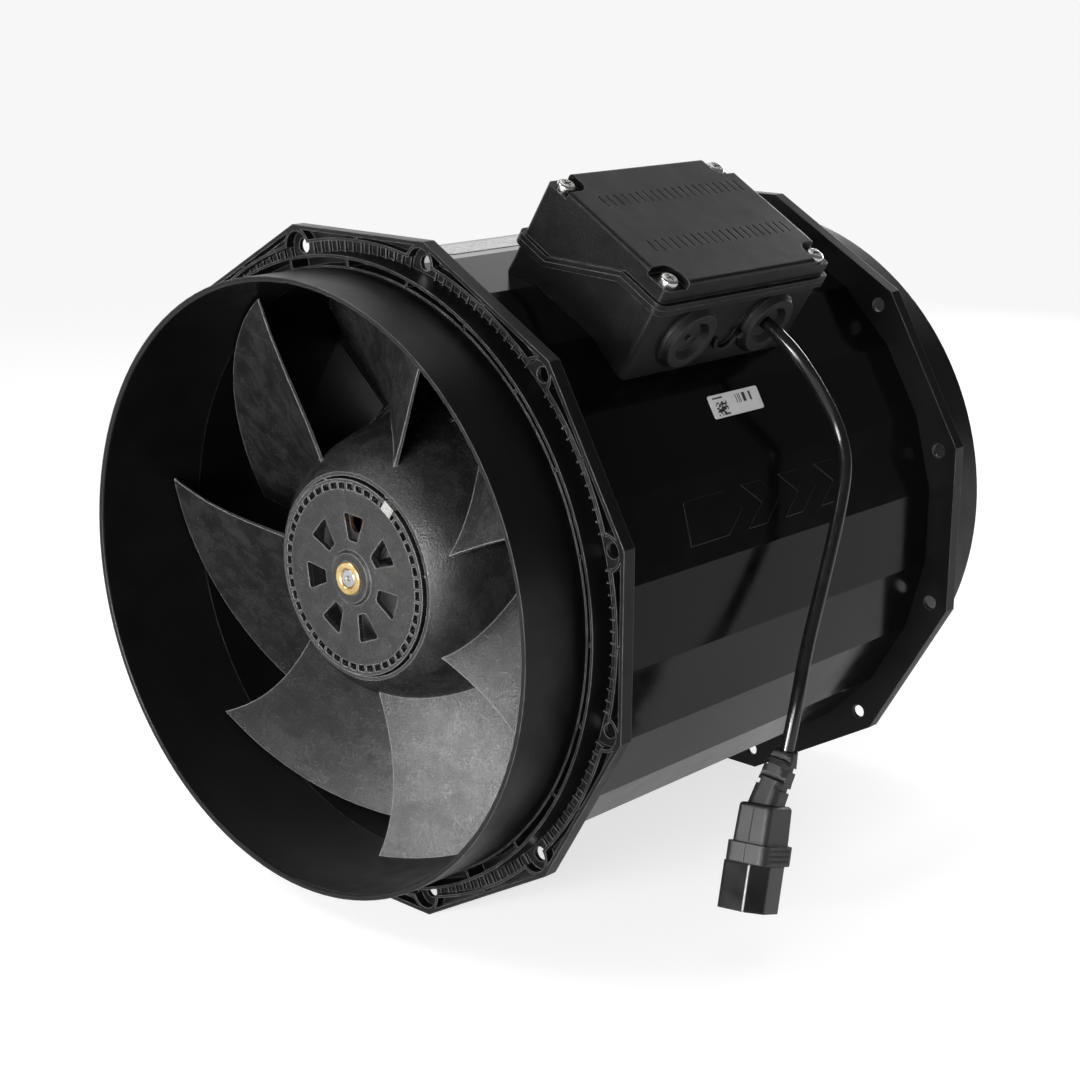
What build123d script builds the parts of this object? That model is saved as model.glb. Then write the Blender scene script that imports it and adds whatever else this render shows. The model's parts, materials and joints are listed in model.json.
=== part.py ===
"""Inline mixed-flow duct fan for a 315 mm round duct, built as an assembly of separate pieces.

Frame: millimetres, +Y along the duct axis from the inlet to the outlet, +Z up, and the origin on the
axis at the inlet spigot's mouth. Angles called bearings turn from +Z towards +X, as a clock's hands
do when the fan is seen from its inlet.
"""

import os
from math import cos, pi, radians, sin, tan

from build123d import *

# ---------------------------------------------------------------- driving dimensions

# End caps: spigot, flange and the collar that locates the shell
duct_length = 382.0
spigot_radius = 157.0
spigot_bore = 154.0
spigot_root = 158.0
mouth_rounding = 1.2
flange_front = 47.0
flange_back = 54.5
flange_sides = 12
flange_circumradius = 180.1
flange_rotation = 15.0
plate_thickness = 2.4
flange_rim = 2.2
hole_circle_radius = 168.7
hole_radius = 3.75
boss_radius = 9.3
boss_bore = 7.8
outer_ring = (169.5, 170.9)
inner_ring = (162.3, 163.7)
inner_ring_front = 38.0
tab_front = 41.0
tab_count = 24
comb_count = 180
comb_front = 50.4
rib_width = 1.5
comb_width = 0.8
collar_length = 11.5

# Many-sided shell and the round tubes inside it
shell_sides = 24
shell_circumradius = 159.9
shell_wall = 2.7
tube_radius = 155.7
tube_gap = 0.3
arrow_half_width = 11.0
arrow_height = 0.5
arrow_bearing = 75.0

# Impeller
blade_count = 7
blade_tip_radius = 152.5
blade_phase = -29.3
blade_wrap = 60.0
hub_front = 42.0
hub_back = 130.0
hub_rim = (52.3, 54.3)
hub_back_radius = 95.0
hub_skin = 3.0
disc_front = 40.0
disc_back = 43.0
disc_radius = 51.2
cup_bore = 49.6
window_radii = (19.6, 34.0)
window_half_angles = (9.3, 12.5)
window_phase = 4.0
slot_count = 48
slot_radii = (45.8, 49.2)
slot_angle = 5.6
bridge_phase = 27.0
bush_radius = 8.8
shaft_radius = 4.96
shaft_bore = 5.0

# Motor, guide vanes and tail
stator_span = (78.0, 112.0)
stator_radius = 43.7
coil_count = 12
vane_hub_front = 134.0
vane_hub_back = 222.0
vane_hub_radius = 95.0
vane_count = 11
vane_phase = 17.3
vane_ring_span = (146.0, 218.0)
mount_plate = (140.0, 143.0)
motor_flange_radius = 70.0
motor_flange_back = 148.0
motor_screw_circle = 62.0
tail_back = 272.0
tail_lip_length = 10.0

# Terminal box: u runs across the box, w away from the duct axis, both square to Y
box_bearing = 31.0
box_centre = 177.0
box_width = 89.0
box_length = 132.0
box_top = 209.5
box_floor = 162.5
box_wall = 3.0
rim_overhang = 2.5
seam_low = 173.0
seam_high = 196.0
seam_slope = (-24.0, 18.6)
lid_band = 2.8
base_band = 3.2
pocket_floor = 205.5
pocket_size = (14.5, 15.0)
groove_rows = (-20.0, 16.0)
groove_pitch = 5.6
groove_count = 20
lid_screw_place = (38.0, 59.0)
box_screw_place = (28.0, 50.0)
grommet_places = (146.0, 209.0)
grommet_height = 174.2
grommet_radius = 18.4
grommet_neck = 10.8
grommet_face = 5.0
grommet_recess = 11.4
grommet_membrane = 1.5
tie_hook_rise = -4.0
lead_place = 190.0

# Supply cord: its route from the grommet's membrane to the plug
cord_radius = 3.5
cord_route = [
    (129.149, 209.0, 125.627),
    (143.5, 209.0, 117.0),
    (153.5, 212.5, 104.5),
    (159.0, 221.0, 89.0),
    (165.5, 226.0, 73.5),
    (173.5, 223.0, 56.0),
    (177.5, 211.5, 31.5),
    (180.0, 197.0, 1.5),
    (184.5, 177.0, -31.5),
    (191.5, 161.5, -52.0),
    (190.6, 155.8, -75.8),
]
plug_place = Vector(188.7, 142.7, -101.0)
plug_direction = Vector(0.102, -0.332, -0.938)
plug_body_length = 19.6
plug_collar_length = 9.8
plug_shroud_length = 23.5
plug_wide_side = Vector(0.113, -0.933, 0.342)

# ---------------------------------------------------------------- helpers


def section(y):
    """Plane square to the duct at y: sketch x is +X and sketch y is +Z; a negative extrude goes to +Y."""
    return Plane.XZ.offset(-y)


def facing(bearing, distance=0.0):
    """Plane that faces away from the axis at a bearing: sketch y is +Y."""
    angle = radians(bearing)
    out = Vector(sin(angle), 0, cos(angle))
    return Plane(origin=out * distance, x_dir=(cos(angle), 0, -sin(angle)), z_dir=out)


def around(part, count, start=0.0):
    """Copies of a part at equal bearings about the duct axis."""
    return [part.rotate(Axis.Y, start + 360.0 * k / count) for k in range(count)]


def tube(outer, inner, front, back):
    """Plain round tube on the duct axis."""
    with BuildPart() as piece:
        with BuildSketch(section(front)):
            Circle(outer)
            Circle(inner, mode=Mode.SUBTRACT)
        extrude(amount=front - back)
    return piece.part


def shell_prism(circumradius, front, back):
    """Solid many-sided prism on the duct axis."""
    with BuildPart() as prism:
        with BuildSketch(section(front)):
            RegularPolygon(circumradius, shell_sides, rotation=180.0 / shell_sides)
        extrude(amount=front - back)
    return prism.part


def pan_screw(place, head_radius, head_height, shank_radius, shank_length):
    """Cross-recess pan-head screw; place is the plane under its head, facing the way it is driven out."""
    with BuildPart() as screw:
        with BuildSketch(place):
            Circle(head_radius)
        extrude(amount=head_height)
        fillet(screw.faces().sort_by(Axis(place.origin, place.z_dir))[-1].edges(), head_height * 0.55)
        with BuildSketch(place):
            Circle(shank_radius)
        extrude(amount=-shank_length)
        with BuildSketch(place.offset(head_height)):
            Rectangle(head_radius * 1.1, head_radius * 0.24)
            Rectangle(head_radius * 0.24, head_radius * 1.1)
        extrude(amount=-head_height * 0.6, mode=Mode.SUBTRACT)
    return screw.part


# ---------------------------------------------------------------- end caps

with BuildPart() as inlet_cap:
    # Spigot that the duct slides over: its mouth is rounded inside, and its root is a little thicker
    with BuildSketch(section(0)):
        Circle(spigot_radius)
        Circle(spigot_bore, mode=Mode.SUBTRACT)
    extrude(amount=-flange_back)
    mouth_edges = inlet_cap.edges().filter_by(GeomType.CIRCLE).group_by(Axis.Y)[0]
    fillet(mouth_edges.sort_by(SortBy.RADIUS)[0], mouth_rounding)
    with BuildSketch(section(tab_front)):
        Circle(spigot_root)
        Circle(spigot_radius - 1.0, mode=Mode.SUBTRACT)
    extrude(amount=tab_front - flange_back)
    # Collar that locates the shell
    with BuildSketch(section(flange_back - 1.0)):
        Circle(tube_radius)
        Circle(spigot_bore, mode=Mode.SUBTRACT)
    extrude(amount=-collar_length - 1.0)
    # Back plate of the flange, with the bolt holes
    with BuildSketch(section(flange_back - plate_thickness)):
        RegularPolygon(flange_circumradius, flange_sides, rotation=flange_rotation)
        Circle(spigot_radius - 1.0, mode=Mode.SUBTRACT)
        with PolarLocations(hole_circle_radius, flange_sides, start_angle=flange_rotation):
            Circle(hole_radius, mode=Mode.SUBTRACT)
    extrude(amount=-plate_thickness)
    # Rim, outer ring, arched bosses and the short ribs between them
    with BuildSketch(section(flange_front)):
        RegularPolygon(flange_circumradius, flange_sides, rotation=flange_rotation)
        RegularPolygon(flange_circumradius - flange_rim, flange_sides, rotation=flange_rotation,
                       mode=Mode.SUBTRACT)
        Circle(outer_ring[1])
        with PolarLocations(hole_circle_radius, flange_sides, start_angle=flange_rotation):
            Circle(boss_radius)
        with PolarLocations(outer_ring[1] + 1.0, flange_sides):
            Rectangle(3.6, rib_width)
        with PolarLocations(hole_circle_radius, flange_sides, start_angle=flange_rotation):
            Circle(boss_bore, mode=Mode.SUBTRACT)
        Circle(outer_ring[0], mode=Mode.SUBTRACT)
    extrude(amount=flange_front - flange_back + plate_thickness)
    # Inner ring, which stands proud of the flange
    with BuildSketch(section(inner_ring_front)):
        Circle(inner_ring[1])
        Circle(inner_ring[0], mode=Mode.SUBTRACT)
    extrude(amount=inner_ring_front - flange_back + plate_thickness)
    # Tabs that tie the inner ring to the spigot
    with BuildSketch(section(tab_front)):
        with PolarLocations((spigot_radius + inner_ring[0]) / 2, tab_count):
            Rectangle(inner_ring[0] - spigot_radius + 1.2, rib_width)
    extrude(amount=tab_front - flange_back + plate_thickness)
    # Fine comb of ribs in the channel between the two rings
    with BuildSketch(section(comb_front)):
        with PolarLocations((inner_ring[1] + outer_ring[0]) / 2, comb_count):
            Rectangle(outer_ring[0] - inner_ring[1] + 0.6, comb_width)
        with PolarLocations(hole_circle_radius, flange_sides, start_angle=flange_rotation):
            Circle(boss_bore, mode=Mode.SUBTRACT)
    extrude(amount=comb_front - flange_back + plate_thickness)

with BuildPart() as outlet_cap:
    mirror(inlet_cap.part, about=section(duct_length / 2))

# ---------------------------------------------------------------- shell and inner tubes

flange_back_outlet = duct_length - flange_back
box_u = Vector(cos(radians(box_bearing)), 0, -sin(radians(box_bearing)))
box_w = Vector(sin(radians(box_bearing)), 0, cos(radians(box_bearing)))


def box_point(u, w, y):
    """Point of the terminal box in the part's frame."""
    return box_u * u + box_w * w + Vector(0, y, 0)


def box_plan(w, y=box_centre):
    """Plane square to w: sketch x is u and sketch y is Y."""
    return Plane(origin=box_point(0, w, y), x_dir=box_u, z_dir=box_w)


shell_facet = facing(arrow_bearing, shell_circumradius * cos(pi / shell_sides) - 0.2)
arrow_tips = (162.5, 193.5, 224.5, 255.5)
arrow_depth = 14.0
arrow_band = 15.0

with BuildPart() as casing_shell:
    add(shell_prism(shell_circumradius, flange_back, flange_back_outlet))
    add(shell_prism(shell_circumradius - shell_wall, flange_back, flange_back_outlet), mode=Mode.SUBTRACT)
    # Hole for the motor lead and pilot holes for the terminal box
    with BuildSketch(box_plan(140.0)):
        with Locations((0, lead_place - box_centre)):
            Circle(7.0)
        with GridLocations(box_screw_place[0] * 2, box_screw_place[1] * 2, 2, 2):
            Circle(2.05)
    extrude(amount=40.0, mode=Mode.SUBTRACT)
    # Raised airflow arrows: one long arrow and three chevrons
    with BuildSketch(shell_facet):
        for number, tip in enumerate(arrow_tips):
            shoulder = tip - arrow_depth
            tail = shoulder - (arrow_band * 2 if number == 0 else arrow_band)
            notch = 0.0 if number == 0 else arrow_depth
            with BuildLine():
                Polyline(
                    (0, tip),
                    (arrow_half_width, shoulder),
                    (arrow_half_width, tail),
                    (0, tail + notch + 0.01),
                    (-arrow_half_width, tail),
                    (-arrow_half_width, shoulder),
                    close=True,
                )
            make_face()
    extrude(amount=arrow_height + 0.2)

impeller_tube_span = (flange_back + collar_length + tube_gap, vane_ring_span[0] - tube_gap)
outlet_tube_span = (vane_ring_span[1] + tube_gap, flange_back_outlet - collar_length - tube_gap)

with BuildPart() as impeller_tube:
    add(tube(tube_radius, spigot_bore, *impeller_tube_span))

with BuildPart() as outlet_tube:
    add(tube(tube_radius, spigot_bore, *outlet_tube_span))

# ---------------------------------------------------------------- impeller


def leading_edge(reach):
    """Bearing lag and place along Y of a blade's leading edge; reach is 0 at the hub and 1 at the tip."""
    bow = 4.0 * reach * (1.0 - reach)
    lag = 2.5 * (1.0 - reach) + 2.75 * bow
    place = 51.3 * (1.0 - reach) + 47.3 * reach + 4.7 * bow
    return lag, place


def blade_camber(reach, chord):
    """Point on a blade's mean surface; chord is 0 at the leading edge and 1 at the trailing edge."""
    hub_radius, tip_radius = 62.0, blade_tip_radius
    radius = hub_radius + (tip_radius - hub_radius) * reach
    lag, place = leading_edge(reach)
    rise = (75.0 * (1.0 - reach) + 66.0 * reach) * (0.75 * chord + 0.25 * chord**2)
    bearing = radians(-lag - blade_wrap * chord)
    return Vector(radius * sin(bearing), place + rise, radius * cos(bearing))


def blade_side(side):
    """Grid of points on one side of a blade, from inside the hub to past the tip."""
    step = 0.001
    rows = []
    for reach in (-0.22, 0.0, 0.2, 0.4, 0.6, 0.8, 1.0, 1.04):
        row = []
        for station in range(13):
            chord = station / 12
            here = blade_camber(reach, chord)
            outward = blade_camber(reach + step, chord) - here
            along = blade_camber(reach, chord + step) - here
            normal = along.cross(outward).normalized()
            full = 1.7 - 0.6 * max(reach, 0.0)
            half = full * (0.34 + 0.66 * sin(pi * (0.06 + 0.88 * chord)) ** 0.8)
            row.append(here + normal * (side * half))
        rows.append(row)
    return rows


def edge_near(face, point):
    """The face's edge whose middle is nearest a point."""
    return min(face.edges(), key=lambda edge: (edge.position_at(0.5) - point).length)


front_side = blade_side(1.0)
back_side = blade_side(-1.0)
front_face = Face.make_surface_from_array_of_points(front_side)
back_face = Face.make_surface_from_array_of_points(back_side)
middle = len(front_side) // 2
edge_guides = [
    (front_side[middle][0], back_side[middle][0]),
    (front_side[middle][-1], back_side[middle][-1]),
    (front_side[0][6], back_side[0][6]),
    (front_side[-1][6], back_side[-1][6]),
]
blade_faces = [front_face, back_face]
for front_guide, back_guide in edge_guides:
    front_edge = edge_near(front_face, front_guide)
    back_edge = edge_near(back_face, back_guide)
    blade_faces.append(Face.make_surface_from_curves(front_edge, back_edge))
blade_block = Solid(Shell(blade_faces))

hub_outer = [(hub_rim[1], hub_front), (63.3, 51.5), (74.0, 80.0), (hub_back_radius, hub_back)]
hub_inner = [(hub_back_radius - hub_skin, hub_back), (70.9, 81.0), (60.6, 54.5), (hub_rim[0], 46.0)]

with BuildPart() as blade_envelope:
    # Ring between the middle of the hub's skin and the blade tips
    with BuildSketch(Plane.XY):
        with BuildLine():
            Spline(*[(r - 1.4, y) for r, y in hub_outer])
            Line((hub_back_radius - 1.4, hub_back), (blade_tip_radius, hub_back))
            Line((blade_tip_radius, hub_back), (blade_tip_radius, hub_front))
            Line((blade_tip_radius, hub_front), (hub_rim[1] - 1.4, hub_front))
        make_face()
    revolve(axis=Axis.Y)

blade = (Part() + blade_block & blade_envelope.part).solids().sort_by(SortBy.VOLUME)[-1]

with BuildPart() as hub_rib:
    with BuildSketch(Plane.XY):
        with BuildLine():
            Polyline(
                (cup_bore + 0.6, 60.0), (64.0, 60.0), (72.6, 83.0), (90.0, 124.0),
                (cup_bore + 0.6, 124.0), close=True,
            )
        make_face()
    extrude(amount=0.9, both=True)

with BuildPart() as rim_bridge:
    with BuildSketch(facing(0.0, disc_radius - 0.5)):
        with Locations((0, hub_front + 1.6)):
            Rectangle(1.6, 2.0)
    extrude(amount=2.4)

window_corners = []
for window_radius, half_angle in zip(window_radii, window_half_angles):
    for bearing in (90.0 - half_angle, 90.0 + half_angle):
        window_corners.append((window_radius * cos(radians(bearing)), window_radius * sin(radians(bearing))))

with BuildSketch() as disc_window:
    Polygon(window_corners[0], window_corners[1], window_corners[3], window_corners[2], align=None)
    fillet(disc_window.vertices(), 1.2)

with BuildPart() as impeller:
    # Bell-shaped hub skin
    with BuildSketch(Plane.XY):
        with BuildLine():
            Spline(*hub_outer)
            Line(hub_outer[-1], hub_inner[0])
            Spline(*hub_inner)
            Line(hub_inner[-1], (hub_rim[0], hub_front))
            Line((hub_rim[0], hub_front), hub_outer[0])
        make_face()
    revolve(axis=Axis.Y)
    # Front disc, its boss for the bush, and the cup that holds the rotor
    with BuildSketch(Plane.XY):
        with BuildLine():
            Polyline(
                (bush_radius, 38.4),
                (13.0, 38.4),
                (14.5, disc_front),
                (disc_radius, disc_front),
                (disc_radius, 126.0),
                (cup_bore, 126.0),
                (cup_bore, disc_back),
                (14.0, disc_back),
                (12.5, 50.0),
                (bush_radius, 50.0),
                close=True,
            )
        make_face()
    revolve(axis=Axis.Y)
    # Web that joins the cup to the skin, deep in the ring-shaped gap
    with BuildSketch(section(59.0)):
        Circle(64.0)
        Circle(cup_bore, mode=Mode.SUBTRACT)
    extrude(amount=-2.5)
    # Ribs behind the web, and bridges across the gap between the disc and the skin's rim
    add(around(hub_rib.part, blade_count * 2))
    add(around(rim_bridge.part, blade_count, bridge_phase))
    # Windows and vent slots in the disc
    with BuildSketch(section(disc_front - 2.0)):
        for k in range(blade_count):
            add(disc_window.sketch.rotate(Axis.Z, -window_phase - 360.0 * k / blade_count))
        slot_middle = (slot_radii[0] + slot_radii[1]) / 2
        with PolarLocations(slot_middle, slot_count):
            Rectangle(slot_radii[1] - slot_radii[0], slot_middle * radians(slot_angle))
    extrude(amount=-disc_back + disc_front - 4.0, mode=Mode.SUBTRACT)
    # Blades
    add(around(blade, blade_count, blade_phase))

with BuildPart() as shaft_bush:
    with BuildSketch(section(36.9)):
        Circle(bush_radius)
        Circle(shaft_bore, mode=Mode.SUBTRACT)
    extrude(amount=-13.1)
    chamfer(shaft_bush.edges().filter_by(GeomType.CIRCLE).group_by(Axis.Y)[0], 0.6)

shaft_span = (37.5, 142.4)

with BuildPart() as motor_shaft:
    with BuildSketch(section(shaft_span[0])):
        Circle(shaft_radius)
    extrude(amount=shaft_span[0] - shaft_span[1])
    chamfer(motor_shaft.edges().filter_by(GeomType.CIRCLE), 0.7)
    # Groove for the circlip
    with BuildSketch(section(137.0)):
        Circle(shaft_radius)
        Circle(4.3, mode=Mode.SUBTRACT)
    extrude(amount=-1.0, mode=Mode.SUBTRACT)
    # Centre drilling in the front end
    with BuildSketch(section(shaft_span[0])):
        Circle(1.6)
    extrude(amount=-3.0, taper=25.0, mode=Mode.SUBTRACT)

with BuildPart() as shaft_circlip:
    with BuildSketch(section(137.05)):
        Circle(6.6)
        Circle(4.32, mode=Mode.SUBTRACT)
        with Locations((0, 6.0)):
            Rectangle(2.4, 6.0, mode=Mode.SUBTRACT)
    extrude(amount=-0.9)

with BuildPart() as balance_clip:
    # L-shaped clip over the disc's edge
    with BuildSketch(facing(34.0, 46.4)):
        with Locations((0, disc_front - 0.4)):
            Rectangle(7.4, 0.8)
    extrude(amount=5.65)
    with BuildSketch(facing(34.0, disc_radius + 0.05)):
        with Locations((0, disc_front + 3.2)):
            Rectangle(7.4, 8.0)
    extrude(amount=0.8)

with BuildPart() as rotor_cup:
    add(tube(cup_bore - 0.05, 47.6, 66.0, 124.0))
    with BuildSketch(section(66.0)):
        Circle(48.0)
        Circle(12.0, mode=Mode.SUBTRACT)
        with PolarLocations(30.0, blade_count, start_angle=90.0):
            Circle(5.0, mode=Mode.SUBTRACT)
    extrude(amount=-2.0)

with BuildPart() as magnet_ring:
    add(tube(47.55, 44.6, stator_span[0] - 4.0, stator_span[1] + 4.0))

# ---------------------------------------------------------------- motor and guide vanes

with BuildPart() as bearing_tube:
    add(tube(12.0, 9.6, 70.0, mount_plate[1]))
    add(tube(24.0, 11.0, mount_plate[1] - 3.5, mount_plate[1]))


def ball_bearing(front):
    """Sealed ball bearing: two rings with a shallow groove at each seal."""
    with BuildPart() as bearing:
        add(tube(9.55, shaft_bore, front, front + 8.0))
        add(tube(8.4, 6.4, front, front + 0.5), mode=Mode.SUBTRACT)
        add(tube(8.4, 6.4, front + 7.5, front + 8.0), mode=Mode.SUBTRACT)
    return bearing.part


with BuildPart() as front_bearing:
    add(ball_bearing(71.0))

with BuildPart() as rear_bearing:
    add(ball_bearing(128.0))

with BuildPart() as stator_core:
    with BuildSketch(section(stator_span[0])):
        Circle(stator_radius)
        Circle(40.6, mode=Mode.SUBTRACT)
        Circle(19.0)
        with PolarLocations(30.0, coil_count):
            Rectangle(24.0, 6.6)
        with PolarLocations(42.2, coil_count, start_angle=180.0 / coil_count):
            Rectangle(5.0, 3.0, mode=Mode.SUBTRACT)
        Circle(12.05, mode=Mode.SUBTRACT)
    extrude(amount=stator_span[0] - stator_span[1])

stator_middle = (stator_span[0] + stator_span[1]) / 2
stator_depth = stator_span[1] - stator_span[0]

with BuildPart() as coil:
    with BuildSketch(facing(90.0, 26.0)):
        with Locations((0, stator_middle)):
            RectangleRounded(12.6, stator_depth + 7.0, 2.5)
            Rectangle(6.8, stator_depth + 0.2, mode=Mode.SUBTRACT)
    extrude(amount=13.0)

with BuildPart() as stator_windings:
    add(around(coil.part, coil_count))

with BuildPart() as vane_hub:
    # Round body, the plate that carries the motor, and the lip that the tail slides over
    add(tube(vane_hub_radius, vane_hub_radius - 3.0, vane_hub_front, vane_hub_back))
    add(tube(vane_hub_radius - 2.0, 54.0, *mount_plate))
    add(tube(vane_hub_radius - 3.2, vane_hub_radius - 5.4, vane_hub_back - 6.0,
             vane_hub_back + tail_lip_length))
    add(tube(vane_hub_radius - 2.0, vane_hub_radius - 5.4, vane_hub_back - 8.0, vane_hub_back - 6.0))
    with BuildSketch(section(mount_plate[0])):
        with PolarLocations(motor_screw_circle, 4, start_angle=45.0):
            Circle(2.05)
    extrude(amount=-10.0, mode=Mode.SUBTRACT)
    # Hole for the motor lead
    with BuildSketch(box_plan(60.0, lead_place)):
        Circle(3.4)
    extrude(amount=50.0, mode=Mode.SUBTRACT)

with BuildPart() as one_vane:
    # Curved plate: it meets the swirl at its front edge and ends along the duct
    with BuildSketch(Plane.XY.offset(80.0)):
        with BuildLine():
            ThreePointArc((-17.0, 150.0), (-5.2, 178.0), (-1.2, 214.0))
            Line((-1.2, 214.0), (1.2, 214.0))
            ThreePointArc((1.2, 214.0), (-2.4, 177.0), (-14.9, 148.8))
            Line((-14.9, 148.8), (-17.0, 150.0))
        make_face()
    extrude(amount=90.0)
    add(tube(spigot_bore - 0.05, vane_hub_radius + 0.05, 140.0, 230.0), mode=Mode.INTERSECT)

with BuildPart() as guide_vanes:
    add(around(one_vane.part, vane_count, vane_phase))

with BuildPart() as vane_ring:
    add(tube(tube_radius, spigot_bore, *vane_ring_span))
    with BuildSketch(box_plan(140.0, lead_place)):
        Circle(4.4)
    extrude(amount=30.0, mode=Mode.SUBTRACT)

with BuildPart() as motor_flange:
    with BuildSketch(section(mount_plate[1])):
        Circle(motor_flange_radius)
        with PolarLocations(motor_screw_circle, 4, start_angle=45.0):
            Circle(2.05, mode=Mode.SUBTRACT)
    extrude(amount=mount_plate[1] - motor_flange_back)
    chamfer(motor_flange.faces().sort_by(Axis.Y)[-1].outer_wire().edges(), 0.8)

with BuildPart() as motor_screws:
    for k in range(4):
        angle = radians(45.0 + 90.0 * k)
        spot = (motor_screw_circle * cos(angle), mount_plate[0], motor_screw_circle * sin(angle))
        add(pan_screw(Plane(origin=spot, x_dir=(1, 0, 0), z_dir=(0, -1, 0)), 3.8, 2.6, 2.0, 7.4))

housing_back = 192.0

with BuildPart() as housing_fin:
    with BuildSketch(facing(0.0, 57.0)):
        with Locations((0, (motor_flange_back + 1.0 + housing_back) / 2)):
            Rectangle(1.8, housing_back - motor_flange_back - 1.0)
    extrude(amount=12.0)

with BuildPart() as electronics_housing:
    add(tube(58.0, 55.0, motor_flange_back, housing_back))
    with BuildSketch(section(housing_back - 3.0)):
        Circle(57.0)
    extrude(amount=-3.0)
    # Cooling fins
    add(around(housing_fin.part, 36, 5.0))

with BuildPart() as control_board:
    with BuildSketch(section(160.0)):
        Circle(52.0)
        Circle(5.0, mode=Mode.SUBTRACT)
    extrude(amount=-1.6)
    # Capacitors and heat-spreader blocks
    with BuildSketch(section(161.6)):
        with PolarLocations(34.0, 3, start_angle=20.0):
            Circle(8.0)
    extrude(amount=-20.0)
    with BuildSketch(section(161.6)):
        with PolarLocations(33.0, 3, start_angle=80.0):
            Rectangle(14.0, 22.0)
    extrude(amount=-9.0)

tail_front = vane_hub_back + 0.2

with BuildPart() as tail_cover:
    # Cone that closes the hub towards the outlet, with a shallow dish in its end
    with BuildSketch(Plane.XY):
        with BuildLine():
            Line((vane_hub_radius, tail_front), (vane_hub_radius, tail_front + 12.0))
            ThreePointArc((vane_hub_radius, tail_front + 12.0), (81.0, 256.0), (50.0, tail_back))
            Line((50.0, tail_back), (42.0, tail_back))
            Line((42.0, tail_back), (38.0, tail_back - 5.0))
            Line((38.0, tail_back - 5.0), (0, tail_back - 5.0))
            Line((0, tail_back - 5.0), (0, tail_back - 8.0))
            Line((0, tail_back - 8.0), (48.0, tail_back - 5.0))
            ThreePointArc((48.0, tail_back - 5.0), (78.4, 253.0), (vane_hub_radius - 3.0, tail_front + 12.0))
            Line((vane_hub_radius - 3.0, tail_front + 12.0), (vane_hub_radius - 3.0, tail_front))
            Line((vane_hub_radius - 3.0, tail_front), (vane_hub_radius, tail_front))
        make_face()
    revolve(axis=Axis.Y)
    # Ribs in the dish and the screw holes in the skirt
    with BuildSketch(section(tail_back - 6.0)):
        with PolarLocations(20.0, 6):
            Rectangle(37.0, 2.0)
        Circle(9.0)
    extrude(amount=-4.0)
    for k in range(3):
        with BuildSketch(facing(120.0 * k, vane_hub_radius - 8.0)):
            with Locations((0, tail_front + 5.0)):
                Circle(1.6)
        extrude(amount=12.0, mode=Mode.SUBTRACT)

with BuildPart() as tail_screws:
    for k in range(3):
        skirt = facing(120.0 * k, vane_hub_radius)
        skirt.origin = skirt.origin + Vector(0, tail_front + 5.0, 0)
        add(pan_screw(skirt, 2.8, 1.6, 1.5, 3.0))

# ---------------------------------------------------------------- terminal box


def seam(offset=0.0, reach=70.0):
    """The stepped parting line of base and lid, moved by offset along w."""
    return [
        (-reach, seam_low + offset),
        (seam_slope[0], seam_low + offset),
        (seam_slope[1], seam_high + offset),
        (reach, seam_high + offset),
    ]


def level(w, reach=70.0):
    """A flat line across the box at height w."""
    return [(-reach, w), (reach, w)]


def box_prism(lower, upper, width, length, corner):
    """Block between two lines across the box, with a rounded rectangular plan."""
    with BuildPart() as block:
        across = Plane(origin=(0, box_centre - length / 2, 0), x_dir=box_u, z_dir=(0, -1, 0))
        with BuildSketch(across):
            with BuildLine():
                Polyline(*lower, *reversed(upper), close=True)
            make_face()
        extrude(amount=-length)
        with BuildSketch(box_plan(100.0)):
            RectangleRounded(width, length, corner)
        extrude(amount=150.0, mode=Mode.INTERSECT)
    return block.part


def box_cavity(lower, upper):
    """Inside of the box, with the screw bosses and the corner pockets left standing."""
    inner_width = box_width - 2 * box_wall
    inner_length = box_length - 2 * box_wall
    with BuildPart() as cavity:
        add(box_prism(lower, upper, inner_width, inner_length, 2.0))
        with BuildSketch(box_plan(100.0)):
            with GridLocations(lid_screw_place[0] * 2, lid_screw_place[1] * 2, 2, 2):
                Circle(5.5)
        extrude(amount=150.0, mode=Mode.SUBTRACT)
        with BuildSketch(box_plan(pocket_floor - 2.5)):
            with GridLocations(box_width, box_length, 2, 2):
                Rectangle(pocket_size[0] * 2 + 4.0, pocket_size[1] * 2 + 4.0)
        extrude(amount=20.0, mode=Mode.SUBTRACT)
    return cavity.part


rim_width = box_width + 2 * rim_overhang
rim_length = box_length + 2 * rim_overhang
seal_outer = (box_width + 0.6, box_length + 0.6)
seal_inner = (box_width - 2.4, box_length - 2.4)
seal_depth = 1.2

with BuildPart() as box_seal:
    add(box_prism(seam(-seal_depth), seam(), *seal_outer, 2.5))
    add(box_prism(seam(-seal_depth - 1.0), seam(1.0), *seal_inner, 1.5), mode=Mode.SUBTRACT)

with BuildPart() as seal_groove:
    add(box_prism(seam(-seal_depth), seam(0.5), *seal_outer, 2.5))
    add(box_prism(seam(-seal_depth - 1.0), seam(1.0), *seal_inner, 1.5), mode=Mode.SUBTRACT)


def grommet_plane(y, u=box_width / 2):
    """Plane on the box's cable side: sketch x is Y and sketch y is w."""
    return Plane(origin=box_point(u, grommet_height, y), x_dir=(0, 1, 0), z_dir=box_u)


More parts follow.
